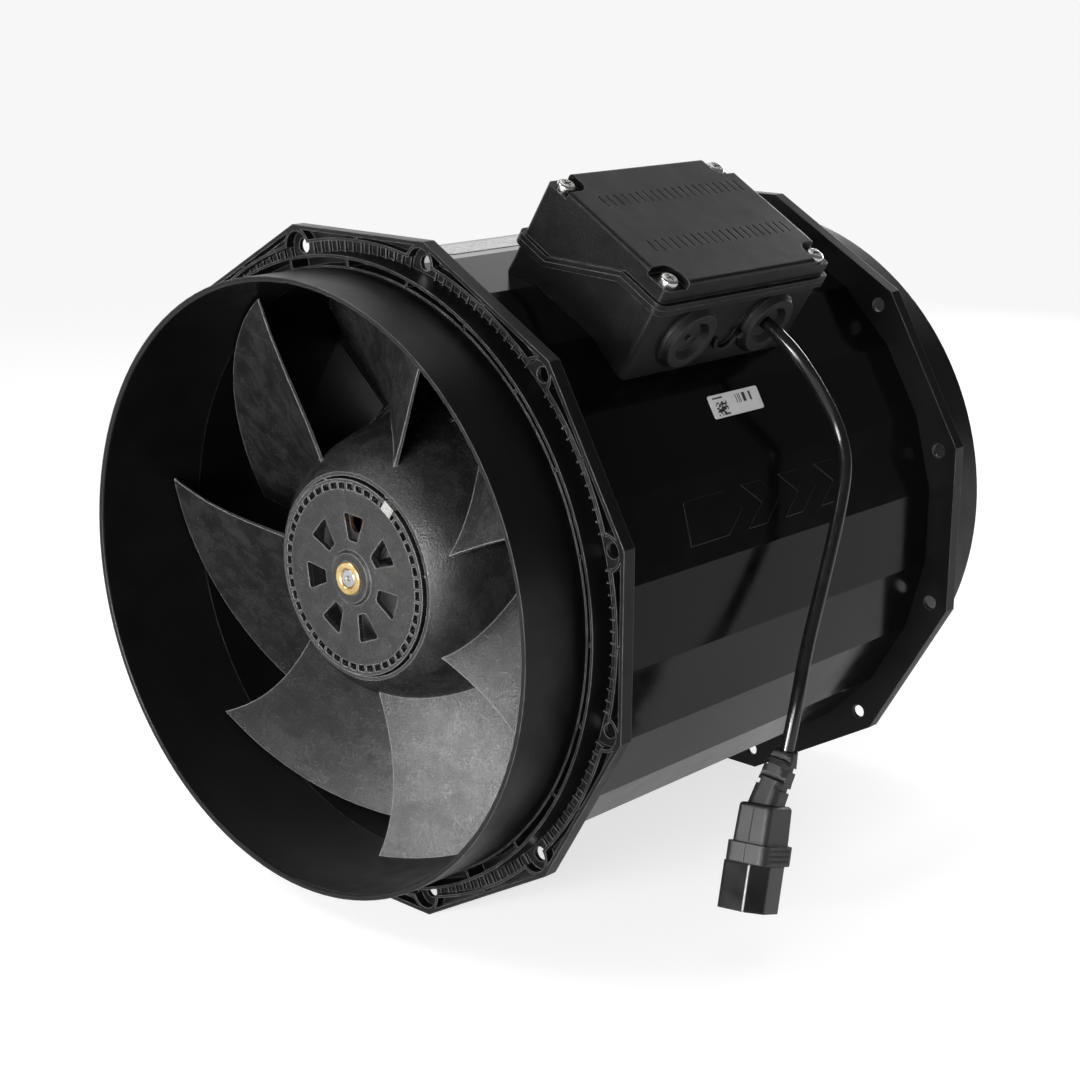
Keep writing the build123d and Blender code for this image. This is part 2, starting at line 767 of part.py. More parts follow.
with BuildPart() as terminal_box_base:
    add(box_prism(level(140.0), seam(), box_width, box_length, 3.0))
    add(box_prism(seam(-base_band), seam(), rim_width, rim_length, 5.0))
    add(box_cavity(level(box_floor), seam(5.0)), mode=Mode.SUBTRACT)
    add(seal_groove.part, mode=Mode.SUBTRACT)
    # The saddle that sits on the shell
    add(shell_prism(shell_circumradius, flange_back, flange_back_outlet), mode=Mode.SUBTRACT)
    # Cable holes
    for place in grommet_places:
        with BuildSketch(grommet_plane(place, box_width / 2 - 10.0)):
            Circle(grommet_neck)
        extrude(amount=20.0, mode=Mode.SUBTRACT)
    # Half-round hook for a cable tie between the cable holes, with a knob at one end
    with BuildSketch(grommet_plane(box_centre + 2.7, box_width / 2 - 0.5)):
        with Locations((0, tie_hook_rise)):
            Circle(9.2)
            Circle(7.2, mode=Mode.SUBTRACT)
            with Locations((0, 5.2)):
                Rectangle(20.0, 10.4, mode=Mode.SUBTRACT)
    extrude(amount=3.2)
    with BuildSketch(grommet_plane(box_centre + 2.7, box_width / 2 - 0.5)):
        with Locations((8.6, tie_hook_rise + 0.4)):
            Circle(1.7)
    extrude(amount=4.6)
    with BuildSketch(grommet_plane(box_centre + 2.7, box_width / 2 + 1.0)):
        with Locations((8.3, 4.6)):
            SlotOverall(5.0, 1.8, rotation=90.0)
    extrude(amount=-2.0, mode=Mode.SUBTRACT)
    # Holes for the lead bush, the base's own screws and the lid's screws
    with BuildSketch(box_plan(130.0)):
        with Locations((0, lead_place - box_centre)):
            Circle(7.0)
        with GridLocations(box_screw_place[0] * 2, box_screw_place[1] * 2, 2, 2):
            Circle(2.05)
    extrude(amount=60.0, mode=Mode.SUBTRACT)
    with BuildSketch(box_plan(168.0)):
        with GridLocations(lid_screw_place[0] * 2, lid_screw_place[1] * 2, 2, 2):
            Circle(2.05)
    extrude(amount=50.0, mode=Mode.SUBTRACT)

with BuildPart() as terminal_box_lid:
    add(box_prism(seam(), level(box_top), box_width, box_length, 3.0))
    fillet(terminal_box_lid.faces().sort_by(Axis((0, 0, 0), box_w))[-1].edges(), 2.2)
    add(box_prism(seam(), seam(lid_band), rim_width, rim_length, 5.0))
    add(box_cavity(seam(-5.0), level(box_top - 2.5)), mode=Mode.SUBTRACT)
    # Corner pockets round the screw heads
    with BuildSketch(box_plan(pocket_floor)):
        with GridLocations(box_width, box_length, 2, 2):
            RectangleRounded(pocket_size[0] * 2, pocket_size[1] * 2, 6.5)
    extrude(amount=20.0, mode=Mode.SUBTRACT)
    with BuildSketch(box_plan(168.0)):
        with GridLocations(lid_screw_place[0] * 2, lid_screw_place[1] * 2, 2, 2):
            Circle(2.05)
    extrude(amount=50.0, mode=Mode.SUBTRACT)
    # Two rows of plain short grooves in the top
    with BuildSketch(box_plan(box_top - 0.6)):
        for groove_row in groove_rows:
            with Locations((groove_row, 3.0)):
                with GridLocations(0, groove_pitch, 1, groove_count):
                    SlotOverall(9.0, 1.9)
    extrude(amount=2.0, mode=Mode.SUBTRACT)

with BuildPart() as lid_screws:
    for u in (-lid_screw_place[0], lid_screw_place[0]):
        for along in (-lid_screw_place[1], lid_screw_place[1]):
            spot = box_point(u, pocket_floor, box_centre + along)
            add(pan_screw(Plane(origin=spot, x_dir=box_u, z_dir=box_w), 4.8, 3.2, 2.0, 33.0))

with BuildPart() as box_screws:
    for u in (-box_screw_place[0], box_screw_place[0]):
        for along in (-box_screw_place[1], box_screw_place[1]):
            spot = box_point(u, box_floor, box_centre + along)
            add(pan_screw(Plane(origin=spot, x_dir=box_u, z_dir=box_w), 4.0, 2.6, 2.0, 7.0))


def grommet(place):
    """Rubber grommet: a chamfered flange outside, a neck in the wall, a lip inside and a thin membrane."""
    with BuildPart() as rubber:
        with BuildSketch(grommet_plane(place)):
            Circle(grommet_radius)
        extrude(amount=grommet_face)
        outer_edge = rubber.faces().sort_by(Axis((0, 0, 0), box_u))[-1].edges()
        chamfer(outer_edge, 3.4, 2.6)
        with BuildSketch(grommet_plane(place, box_width / 2 - box_wall - 2.0)):
            Circle(grommet_neck - 0.05)
            Circle(grommet_neck - 2.3, mode=Mode.SUBTRACT)
        extrude(amount=box_wall + 2.0)
        with BuildSketch(grommet_plane(place, box_width / 2 - box_wall - 2.0)):
            Circle(grommet_neck + 0.8)
            Circle(grommet_neck - 2.3, mode=Mode.SUBTRACT)
        extrude(amount=1.95)
        # Dished recess down to the membrane
        with BuildSketch(grommet_plane(place, box_width / 2 + grommet_face)):
            Circle(grommet_recess)
        extrude(amount=grommet_membrane - grommet_face, taper=42.0, mode=Mode.SUBTRACT)
    return rubber.part


with BuildPart() as blank_grommet:
    add(grommet(grommet_places[0]))
    # Nub in the middle of the unpierced membrane
    with BuildSketch(grommet_plane(grommet_places[0], box_width / 2 + 1.0)):
        Circle(1.6)
    extrude(amount=1.7)

with BuildPart() as cable_grommet:
    add(grommet(grommet_places[1]))

with BuildPart() as lead_bush:
    # Rubber bush where the motor lead leaves the box through the shell
    with BuildSketch(box_plan(156.3, lead_place)):
        Circle(6.95)
        Circle(3.05, mode=Mode.SUBTRACT)
    extrude(amount=box_floor - 156.3)
    with BuildSketch(box_plan(box_floor, lead_place)):
        Circle(9.0)
        Circle(3.05, mode=Mode.SUBTRACT)
    extrude(amount=2.5)

with BuildPart() as motor_lead:
    with BuildSketch(box_plan(76.0, lead_place)):
        Circle(3.0)
    extrude(amount=172.0 - 76.0)

block_centre = (-14.0, 156.0)

with BuildPart() as terminal_block:
    with BuildSketch(box_plan(box_floor, block_centre[1])):
        with Locations((block_centre[0], 0)):
            RectangleRounded(20.0, 46.0, 1.5)
    extrude(amount=7.0)
    with BuildSketch(box_plan(box_floor + 7.0, block_centre[1])):
        with Locations((block_centre[0], 0)):
            Rectangle(11.0, 44.0)
            with GridLocations(0, 8.6, 1, 5):
                Circle(2.2, mode=Mode.SUBTRACT)
    extrude(amount=6.0)

with BuildPart() as terminal_clamp_screws:
    for k in range(5):
        spot = box_point(block_centre[0], box_floor + 10.0, block_centre[1] + (k - 2) * 8.6)
        add(pan_screw(Plane(origin=spot, x_dir=box_u, z_dir=box_w), 2.1, 1.5, 1.4, 2.8))

with BuildPart() as supply_tail:
    # Sheathed end of the cord inside the box, on the far side of the grommet's membrane
    inner_face = box_width / 2
    with BuildSketch(grommet_plane(grommet_places[1], inner_face)):
        Circle(cord_radius)
    extrude(amount=-31.0)
    with BuildSketch(grommet_plane(grommet_places[1], inner_face - 31.0)):
        with PolarLocations(1.7, 3):
            Circle(1.1)
    extrude(amount=-14.0)

clamp_place = 26.0

with BuildPart() as cord_clamp:
    with BuildSketch(box_plan(box_floor, grommet_places[1])):
        with Locations((clamp_place, 0)):
            Rectangle(8.0, 24.0)
    extrude(amount=grommet_height + 6.0 - box_floor)
    with BuildSketch(grommet_plane(grommet_places[1], clamp_place - 10.0)):
        Circle(cord_radius + 0.02)
    extrude(amount=20.0, mode=Mode.SUBTRACT)
    with BuildSketch(box_plan(box_floor + 4.0, grommet_places[1])):
        with Locations((clamp_place, -8.0), (clamp_place, 8.0)):
            Circle(1.55)
    extrude(amount=30.0, mode=Mode.SUBTRACT)

with BuildPart() as cord_clamp_screws:
    for along in (-8.0, 8.0):
        spot = box_point(clamp_place, grommet_height + 6.0, grommet_places[1] + along)
        add(pan_screw(Plane(origin=spot, x_dir=box_u, z_dir=box_w), 3.0, 2.2, 1.5, 12.0))

# ---------------------------------------------------------------- labels

facet_distance = shell_circumradius * cos(pi / shell_sides)

with BuildPart() as serial_label:
    with BuildSketch(facing(60.0, facet_distance)):
        with Locations((-10.5, 182.6)):
            RectangleRounded(12.2, 40.5, 1.4)
    extrude(amount=0.25)

with BuildPart() as rating_label:
    with BuildSketch(facing(0.0, facet_distance)):
        with Locations((-3.0, 150.0)):
            RectangleRounded(26.0, 92.0, 1.4)
    extrude(amount=0.25)

# ---------------------------------------------------------------- supply cord and its plug

cord_points = [Vector(*point) for point in cord_route]
cord_radii = []
for before, corner, after in zip(cord_points, cord_points[1:], cord_points[2:]):
    turn = radians((corner - before).get_angle(after - corner))
    shorter = min((corner - before).length, (after - corner).length)
    cord_radii.append(0.45 * shorter / tan(turn / 2))
print("cord arc radii", [round(radius) for radius in cord_radii])

with BuildPart() as power_cord:
    with BuildLine() as cord_line:
        FilletPolyline(*cord_points, radius=cord_radii)
    start = cord_points[0]
    with BuildSketch(Plane(origin=start, z_dir=cord_points[1] - start)):
        Circle(cord_radius)
    sweep(path=cord_line.wire())
cord_length = cord_line.wire().length
print("cord length", round(cord_length, 1))
print("cord volume over section times length",
      round(power_cord.part.volume / (pi * cord_radius**2 * cord_length), 4))

cord_end = cord_points[-1]
plug_axis = plug_direction.normalized()
plug_narrow_side = plug_axis.cross(plug_wide_side).normalized()
plug_x = plug_narrow_side.cross(plug_axis).normalized()
relief_axis = (plug_place - cord_end).normalized()


def plug_plane(along):
    """Plane across the plug at a distance from its body's end: sketch x is its wide side."""
    return Plane(origin=plug_place + plug_axis * along, x_dir=plug_x, z_dir=plug_axis)


def relief_plane(along):
    """Plane across the strain relief, which leans a little from the plug's axis."""
    return Plane(origin=cord_end + relief_axis * along, x_dir=plug_x, z_dir=relief_axis)


collar_start = plug_body_length
shroud_start = collar_start + plug_collar_length

with BuildPart() as cord_strain_relief:
    # Tapered sleeve, with slots on alternate sides that let it bend
    with BuildSketch(Plane(origin=cord_end, x_dir=plug_x, z_dir=cord_end - cord_points[-2])):
        RectangleRounded(10.8, 10.8, 4.6)
    with BuildSketch(relief_plane(8.5)):
        RectangleRounded(15.2, 14.2, 4.7)
    with BuildSketch(plug_plane(0)):
        RectangleRounded(17.5, 15.5, 4.8)
    loft(ruled=True)
    for row in range(2):
        with BuildSketch(relief_plane(2.6 + row * 10.4)):
            with GridLocations(20.0 + row, 0, 2, 1):
                Rectangle(12.6, 30.0)
        extrude(amount=2.6, mode=Mode.SUBTRACT)
        with BuildSketch(relief_plane(7.0 + row * 10.4)):
            with GridLocations(0, 20.0 + row, 1, 2):
                Rectangle(30.0, 12.6)
        extrude(amount=2.4, mode=Mode.SUBTRACT)

with BuildPart() as plug_body:
    with BuildSketch(plug_plane(0)):
        RectangleRounded(25.2, 18.5, 3.0)
    with BuildSketch(plug_plane(collar_start)):
        RectangleRounded(26.9, 19.3, 3.0)
    loft()
    fillet(plug_body.faces().sort_by(Axis(plug_place, plug_axis))[0].edges(), 2.0)
    with BuildSketch(plug_plane(collar_start)):
        RectangleRounded(31.0, 23.2, 4.4)
    extrude(amount=plug_collar_length)
    fillet(plug_body.faces().sort_by(Axis(plug_place, plug_axis))[-1].outer_wire().edges(), 0.6)
    # Mould's parting line down both narrow sides, and rows of grip nubs on the collar's wide sides
    with BuildSketch(Plane(origin=plug_place, x_dir=plug_axis, z_dir=plug_narrow_side)):
        with BuildLine():
            Polyline((2.4, 12.35), (collar_start, 13.15), (collar_start, 15.25), (shroud_start, 15.25),
                     (shroud_start, 16.0), (2.4, 16.0), close=True)
        make_face()
        mirror(about=Plane.XZ)
    extrude(amount=0.15, both=True, mode=Mode.SUBTRACT)
    grip_middle = plug_place + plug_axis * (collar_start + plug_collar_length / 2)
    with BuildSketch(Plane(origin=grip_middle, x_dir=plug_x, z_dir=plug_narrow_side)):
        with GridLocations(2.6, 2.5, 8, 3):
            Circle(0.75)
    extrude(amount=23.8 / 2, both=True)

with BuildPart() as plug_shroud:
    # Cup with two chamfered corners on its earth side, closed where it joins the body
    for depth, inset, mode in ((0.0, 0.0, Mode.ADD), (3.0, 1.8, Mode.SUBTRACT)):
        with BuildSketch(plug_plane(shroud_start + depth)) as shroud_outline:
            Rectangle(30.6 - 2 * inset, 22.5 - 2 * inset)
            chamfer(shroud_outline.vertices().group_by(Axis.Y)[0], 7.6 - 0.6 * inset)
            fillet(shroud_outline.vertices(), 1.5)
        extrude(amount=plug_shroud_length - depth, mode=mode)

with BuildPart() as plug_pins:
    with BuildSketch(plug_plane(shroud_start + 3.0)):
        with Locations((0.0, -3.2), (-7.0, 1.6), (7.0, 1.6)):
            Rectangle(2.0, 4.0)
    extrude(amount=16.0)
    chamfer(plug_pins.faces().group_by(Axis(plug_place, plug_axis))[-1].edges(), 0.5)

# ---------------------------------------------------------------- write every piece

pieces = {
    "inlet_cap": inlet_cap,
    "outlet_cap": outlet_cap,
    "casing_shell": casing_shell,
    "impeller_tube": impeller_tube,
    "outlet_tube": outlet_tube,
    "vane_ring": vane_ring,
    "guide_vanes": guide_vanes,
    "vane_hub": vane_hub,
    "motor_flange": motor_flange,
    "motor_screws": motor_screws,
    "bearing_tube": bearing_tube,
    "front_bearing": front_bearing,
    "rear_bearing": rear_bearing,
    "stator_core": stator_core,
    "stator_windings": stator_windings,
    "electronics_housing": electronics_housing,
    "control_board": control_board,
    "tail_cover": tail_cover,
    "tail_screws": tail_screws,
    "impeller": impeller,
    "shaft_bush": shaft_bush,
    "motor_shaft": motor_shaft,
    "shaft_circlip": shaft_circlip,
    "balance_clip": balance_clip,
    "rotor_cup": rotor_cup,
    "magnet_ring": magnet_ring,
    "terminal_box_base": terminal_box_base,
    "terminal_box_lid": terminal_box_lid,
    "box_seal": box_seal,
    "lid_screws": lid_screws,
    "box_screws": box_screws,
    "blank_grommet": blank_grommet,
    "cable_grommet": cable_grommet,
    "lead_bush": lead_bush,
    "motor_lead": motor_lead,
    "terminal_block": terminal_block,
    "terminal_clamp_screws": terminal_clamp_screws,
    "supply_tail": supply_tail,
    "cord_clamp": cord_clamp,
    "cord_clamp_screws": cord_clamp_screws,
    "serial_label": serial_label,
    "rating_label": rating_label,
    "power_cord": power_cord,
    "cord_strain_relief": cord_strain_relief,
    "plug_body": plug_body,
    "plug_shroud": plug_shroud,
    "plug_pins": plug_pins,
}

os.makedirs("parts", exist_ok=True)
for name, piece in pieces.items():
    piece.part.label = name
    export_step(piece.part, f"parts/{name}.step")
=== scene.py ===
"""Inline duct fan: materials, the free supply cord, the camera and the studio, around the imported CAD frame.

Metres, in the CAD's own frame: +Y along the airflow, +Z up, origin on the axis at the inlet's mouth.
"""

import json
from math import cos, pi, radians, sin

import bmesh
import bpy
from mathutils import Matrix, Vector


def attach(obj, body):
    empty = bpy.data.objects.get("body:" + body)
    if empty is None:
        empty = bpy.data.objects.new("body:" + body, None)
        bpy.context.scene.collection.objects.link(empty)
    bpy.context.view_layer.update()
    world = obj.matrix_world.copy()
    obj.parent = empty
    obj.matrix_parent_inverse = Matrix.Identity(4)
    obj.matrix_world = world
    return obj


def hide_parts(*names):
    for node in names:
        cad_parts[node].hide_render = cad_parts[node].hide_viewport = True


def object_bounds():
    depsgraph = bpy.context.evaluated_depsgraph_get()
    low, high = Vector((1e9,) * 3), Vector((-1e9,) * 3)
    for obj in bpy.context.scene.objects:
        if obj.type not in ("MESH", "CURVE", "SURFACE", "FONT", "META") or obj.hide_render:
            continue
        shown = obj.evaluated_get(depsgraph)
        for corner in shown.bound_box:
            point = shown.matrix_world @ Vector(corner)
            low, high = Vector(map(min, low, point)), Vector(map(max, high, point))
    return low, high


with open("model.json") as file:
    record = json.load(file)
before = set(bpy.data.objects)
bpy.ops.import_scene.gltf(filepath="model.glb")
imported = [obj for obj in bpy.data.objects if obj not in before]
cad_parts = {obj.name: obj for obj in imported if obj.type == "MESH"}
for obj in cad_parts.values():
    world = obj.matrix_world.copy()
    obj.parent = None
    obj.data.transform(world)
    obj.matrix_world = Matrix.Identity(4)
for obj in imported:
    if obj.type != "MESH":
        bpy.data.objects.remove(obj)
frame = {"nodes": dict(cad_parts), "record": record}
cad_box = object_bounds()
scene = bpy.context.scene
nodes = frame["nodes"]


def direction(azimuth, elevation):
    """Unit vector, from degrees; azimuth 0 points along -Y, out of the inlet, and 90 along +X."""
    turn, lift = radians(azimuth), radians(elevation)
    return Vector((sin(turn) * cos(lift), -cos(turn) * cos(lift), sin(lift)))


# ---------------------------------------------------------------- camera

# angles in degrees, the sidestep to the right and up in metres, the lens in millimetres
CAMERA_AZIMUTH = 42.247
CAMERA_ELEVATION = 15.685
CAMERA_ROLL = 0.34
CAMERA_DISTANCE = 1.1851
CAMERA_AIM = Vector((0.0, 0.2, 0.0))
CAMERA_SIDESTEP = (-0.01218, -0.01228)
CAMERA_LENS = 70.38
CAMERA_SENSOR = 36.0


def add_camera():
    """Camera at the photograph's viewing angle."""
    back = direction(CAMERA_AZIMUTH, CAMERA_ELEVATION)
    level = direction(CAMERA_AZIMUTH + 90.0, 0.0)
    upright = back.cross(level)
    roll = radians(CAMERA_ROLL)
    right = level * cos(roll) + upright * sin(roll)
    up = upright * cos(roll) - level * sin(roll)
    place = CAMERA_AIM + back * CAMERA_DISTANCE + right * CAMERA_SIDESTEP[0] + up * CAMERA_SIDESTEP[1]
    data = bpy.data.cameras.new("camera")
    data.lens = CAMERA_LENS
    data.sensor_width = CAMERA_SENSOR
    data.clip_end = 100.0
    camera = bpy.data.objects.new("camera", data)
    matrix = Matrix((right, up, back)).transposed().to_4x4()
    matrix.translation = place
    camera.matrix_world = matrix
    scene.collection.objects.link(camera)
    scene.camera = camera


add_camera()


# ---------------------------------------------------------------- node helpers


def grey(value):
    """Neutral colour."""
    return (value, value, value, 1.0)


def set_range(node, low, high, start, end):
    """Sets the range that a Map Range node reads and the range that it gives."""
    for socket, number in zip(("From Min", "From Max", "To Min", "To Max"), (low, high, start, end)):
        node.inputs[socket].default_value = number


class Shader:
    """Builds a material's node tree. Where a method takes a value, it is an output socket or a constant."""

    def __init__(self, name):
        self.material = bpy.data.materials.new(name)
        self.material.use_nodes = True
        self.tree = self.material.node_tree
        self.tree.nodes.clear()
        self.output = self.tree.nodes.new("ShaderNodeOutputMaterial")
        self.surface = self.tree.nodes.new("ShaderNodeBsdfPrincipled")
        self.tree.links.new(self.surface.outputs[0], self.output.inputs[0])
        self.place = self.tree.nodes.new("ShaderNodeTexCoord").outputs["Object"]

    def link(self, value, socket):
        """Joins an output to an input, or sets a constant."""
        if isinstance(value, bpy.types.NodeSocket):
            self.tree.links.new(value, socket)
        else:
            socket.default_value = value

    def set(self, **values):
        """Sets the surface shader's sockets by name, with underscores for spaces."""
        for key, value in values.items():
            self.link(value, self.surface.inputs[key.replace("_", " ")])

    def stretch(self, scale):
        """Object coordinates, scaled along each axis."""
        node = self.tree.nodes.new("ShaderNodeMapping")
        self.link(self.place, node.inputs["Vector"])
        node.inputs["Scale"].default_value = scale
        return node.outputs[0]

    def noise(self, scale, detail=3.0, rough=0.5, distortion=0.0, at=None):
        """Noise value; scale is in cycles per metre."""
        node = self.tree.nodes.new("ShaderNodeTexNoise")
        self.link(at if at is not None else self.place, node.inputs["Vector"])
        node.inputs["Scale"].default_value = scale
        node.inputs["Detail"].default_value = detail
        node.inputs["Roughness"].default_value = rough
        node.inputs["Distortion"].default_value = distortion
        return node.outputs[0]

    def cells(self, scale):
        """Distance to the nearest edge of a pattern of irregular cells."""
        node = self.tree.nodes.new("ShaderNodeTexVoronoi")
        node.feature = "DISTANCE_TO_EDGE"
        self.link(self.place, node.inputs["Vector"])
        node.inputs["Scale"].default_value = scale
        return node.outputs["Distance"]

    def span(self, value, low, high, start=0.0, end=1.0, smooth=False):
        """Maps a value from low..high to start..end, clamped."""
        node = self.tree.nodes.new("ShaderNodeMapRange")
        node.interpolation_type = "SMOOTHSTEP" if smooth else "LINEAR"
        self.link(value, node.inputs["Value"])
        set_range(node, low, high, start, end)
        return node.outputs[0]

    def math(self, operation, a, b=0.0):
        """Math node."""
        node = self.tree.nodes.new("ShaderNodeMath")
        node.operation = operation
        self.link(a, node.inputs[0])
        self.link(b, node.inputs[1])
        return node.outputs[0]

    def weigh(self, weights):
        """Sum of the object coordinates, each times its weight."""
        node = self.tree.nodes.new("ShaderNodeVectorMath")
        node.operation = "DOT_PRODUCT"
        self.link(self.place, node.inputs[0])
        node.inputs[1].default_value = weights
        return node.outputs["Value"]

    def within(self, value, low, high):
        """One where a value lies between two numbers, and zero elsewhere."""
        above = self.math("GREATER_THAN", value, low)
        below = self.math("LESS_THAN", value, high)
        return self.math("MULTIPLY", above, below)

    def patch(self, across, along, area):
        """One inside a rectangle, given as its lowest and highest place across and then along."""
        return self.math("MULTIPLY", self.within(across, *area[:2]), self.within(along, *area[2:]))

    def scatter(self, across, along):
        """Random value for each whole-numbered cell."""
        node = self.tree.nodes.new("ShaderNodeTexWhiteNoise")
        node.noise_dimensions = "2D"
        pair = self.tree.nodes.new("ShaderNodeCombineXYZ")
        self.link(self.math("FLOOR", across), pair.inputs[0])
        self.link(self.math("FLOOR", along), pair.inputs[1])
        self.tree.links.new(pair.outputs[0], node.inputs["Vector"])
        return node.outputs["Value"]

    def mix(self, amount, dark, light):
        """Mix of two colours."""
        node = self.tree.nodes.new("ShaderNodeMix")
        node.data_type = "RGBA"
        self.link(amount, node.inputs["Factor"])
        self.link(dark, node.inputs[6])
        self.link(light, node.inputs[7])
        return node.outputs[2]

    def rounded(self, radius):
        """Normal with small edge rounding."""
        node = self.tree.nodes.new("ShaderNodeBevel")
        node.samples = 4
        node.inputs["Radius"].default_value = radius
        return node.outputs[0]

    def edges(self, rounded):
        """One along edges, where a rounded normal leaves the surface's own, and zero on the flats."""
        edge_cosine, flat_cosine = 0.72, 0.985
        node = self.tree.nodes.new("ShaderNodeVectorMath")
        node.operation = "DOT_PRODUCT"
        self.link(rounded, node.inputs[0])
        self.link(self.tree.nodes.new("ShaderNodeNewGeometry").outputs["Normal"], node.inputs[1])
        return self.span(node.outputs["Value"], edge_cosine, flat_cosine, 1.0, 0.0)

    def bump(self, height, distance, normal=None):
        """Normal from a height of 0 to 1, which stands for 0 to a distance in metres."""
        node = self.tree.nodes.new("ShaderNodeBump")
        node.inputs["Distance"].default_value = distance
        self.link(height, node.inputs["Height"])
        if normal is not None:
            self.link(normal, node.inputs["Normal"])
        return node.outputs[0]

    def axes(self):
        """Object coordinates as separate values."""
        node = self.tree.nodes.new("ShaderNodeSeparateXYZ")
        self.link(self.place, node.inputs[0])
        return node.outputs[0], node.outputs[1], node.outputs[2]


# ---------------------------------------------------------------- materials


def moulded(name, dark, light, rough, grain=1500.0, depth=0.00002, edge=0.0006, edge_highlight=0.04, spread=0.06,
            specular=0.5, highlight_reach=0.0010):
    """Moulded plastic: slight blotches in colour and gloss, a fine grain, rounded edges and a painted
    highlight along them.

    dark, light and edge_highlight are albedos, the last the painted highlight's. rough is the middle of the
    roughness, and spread how far it varies.
    grain is in cycles per metre. depth is the grain's height, edge the radius of the rounding and
    highlight_reach how far the painted highlight runs beside an edge, all in metres.
    """
    m = Shader(name)
    rounded = m.rounded(edge)
    blotch = m.span(m.noise(28.0, 4.0, 0.6), 0.3, 0.7)
    # Painted highlight: a paler colour along the edges, broken up by noise, stands in for light catching
    # them.
    highlight_breakup = m.span(m.noise(90.0, 4.0, 0.7), 0.35, 0.65, 0.25, 1.0)
    painted_edge_highlight = m.math("MULTIPLY", m.edges(m.rounded(highlight_reach)), highlight_breakup)
    m.set(Base_Color=m.mix(painted_edge_highlight, m.mix(blotch, grey(dark), grey(light)), grey(edge_highlight)))
    gloss = m.span(m.noise(75.0, 3.0, 0.6), 0.3, 0.7, rough - spread, rough + spread)
    m.set(Roughness=gloss, Specular_IOR_Level=specular)
    m.set(Normal=m.bump(m.noise(grain, 2.0, 0.6), depth, rounded))
    return m.material


def metal(name, colour, rough, scale=(1.0, 1.0, 1.0), grain=900.0, depth=0.000008):
    """Metal with a fine grain. A scale over 1 squeezes it along an axis, and one under 1 draws it out."""
    m = Shader(name)
    at = m.stretch(scale)
    streak = m.noise(grain, 3.0, 0.6, at=at)
    dull = tuple(c * 0.82 for c in colour)
    m.set(Base_Color=m.mix(m.span(m.noise(160.0, 3.0), 0.35, 0.65), (*dull, 1.0), (*colour, 1.0)))
    m.set(Metallic=1.0, Roughness=m.span(streak, 0.3, 0.7, rough - 0.06, rough + 0.08))
    m.set(Normal=m.bump(streak, depth, m.rounded(0.0002)))
    return m.material


def shell_gloss():
    """Glossy extruded casing: faint draw lines along the axis and a slow ripple in the reflections."""
    m = Shader("shell_gloss")
    rounded = m.rounded(0.0005)
    base = m.mix(m.span(m.noise(9.0, 2.0), 0.35, 0.65), grey(0.0016), grey(0.0024))
    # Painted highlight: a paler colour along the edges stands in for light catching them.
    m.set(Base_Color=m.mix(m.edges(rounded), base, grey(0.05)))
    lines = m.noise(420.0, 2.0, 0.5, at=m.stretch((1.0, 0.03, 1.0)))
    m.set(Roughness=m.span(m.noise(55.0, 4.0, 0.6), 0.35, 0.7, 0.12, 0.19), Specular_IOR_Level=0.165)
    ripple = m.bump(m.noise(14.0, 1.0, 0.4), 0.0003, rounded)
    m.set(Normal=m.bump(lines, 0.0000035, ripple))
    return m.material


def fibre_filled():
    """Glass-fibre filled nylon: pale flow streaks and a fine speckle, in its colour, gloss and relief."""
    m = Shader("fibre_filled")
    swirl = m.noise(75.0, 6.0, 0.66, 0.3)
    speckle = m.noise(1050.0, 3.0, 0.7)
    flow = m.math("ADD", m.math("MULTIPLY", swirl, 0.6), m.math("MULTIPLY", speckle, 0.4))
    base = m.mix(m.span(flow, 0.38, 0.66), grey(0.0022), grey(0.025))
    # Painted highlight: a pale grey along the blade edges stands in for light catching them.
    m.set(Base_Color=m.mix(m.edges(m.rounded(0.0010)), base, grey(0.26)))
    m.set(Roughness=m.span(flow, 0.40, 0.62, 0.36, 0.20))
    m.set(Normal=m.bump(speckle, 0.00036, m.bump(swirl, 0.00012, m.rounded(0.0006))))
    return m.material


def cord_sheath():
    """Smooth soft PVC."""
    m = Shader("cord_sheath")
    m.set(Base_Color=m.mix(m.span(m.noise(40.0, 3.0), 0.35, 0.65), grey(0.004), grey(0.007)))
    m.set(Roughness=m.span(m.noise(160.0, 3.0), 0.3, 0.7, 0.17, 0.26))
    m.set(Normal=m.bump(m.noise(900.0, 2.0), 0.00001))
    return m.material


TURNING_PITCH = 0.0007


def turned_brass():
    """Brass with fine turning rings round the shaft."""
    m = Shader("turned_brass")
    x, _, z = m.axes()
    radius = m.math("SQRT", m.math("ADD", m.math("MULTIPLY", x, x), m.math("MULTIPLY", z, z)))
    rings = m.math("SINE", m.math("MULTIPLY", radius, 2 * pi / TURNING_PITCH))
    tarnish = m.span(m.noise(260.0, 4.0), 0.35, 0.65)
    m.set(Base_Color=m.mix(tarnish, (0.60, 0.42, 0.17, 1.0), (0.84, 0.64, 0.32, 1.0)))
    m.set(Metallic=1.0, Roughness=m.span(m.noise(500.0, 3.0), 0.3, 0.7, 0.24, 0.40))
    m.set(Normal=m.bump(rings, 0.00001, m.rounded(0.0003)))
    return m.material


def label_film(name, paper, bearing, ink, marks):
    """Matt film label on a facet at a bearing, with plain printed marks.

    paper and ink are albedos, and the bearing is in degrees from +Z towards +X. marks builds a mask from the
    shader, the place across the facet and the place along the duct.
    """
    m = Shader(name)
    across = m.weigh((cos(radians(bearing)), 0.0, -sin(radians(bearing))))
    along = m.weigh((0.0, 1.0, 0.0))
    film = m.mix(m.span(m.noise(120.0, 4.0), 0.35, 0.65), grey(paper * 0.93), grey(paper))
    m.set(Base_Color=m.mix(marks(m, across, along), film, grey(ink)))
    m.set(Roughness=m.span(m.noise(300.0, 3.0), 0.3, 0.7, 0.38, 0.5))
    m.set(Normal=m.bump(m.noise(2500.0, 2.0), 0.000008))
    return m.material


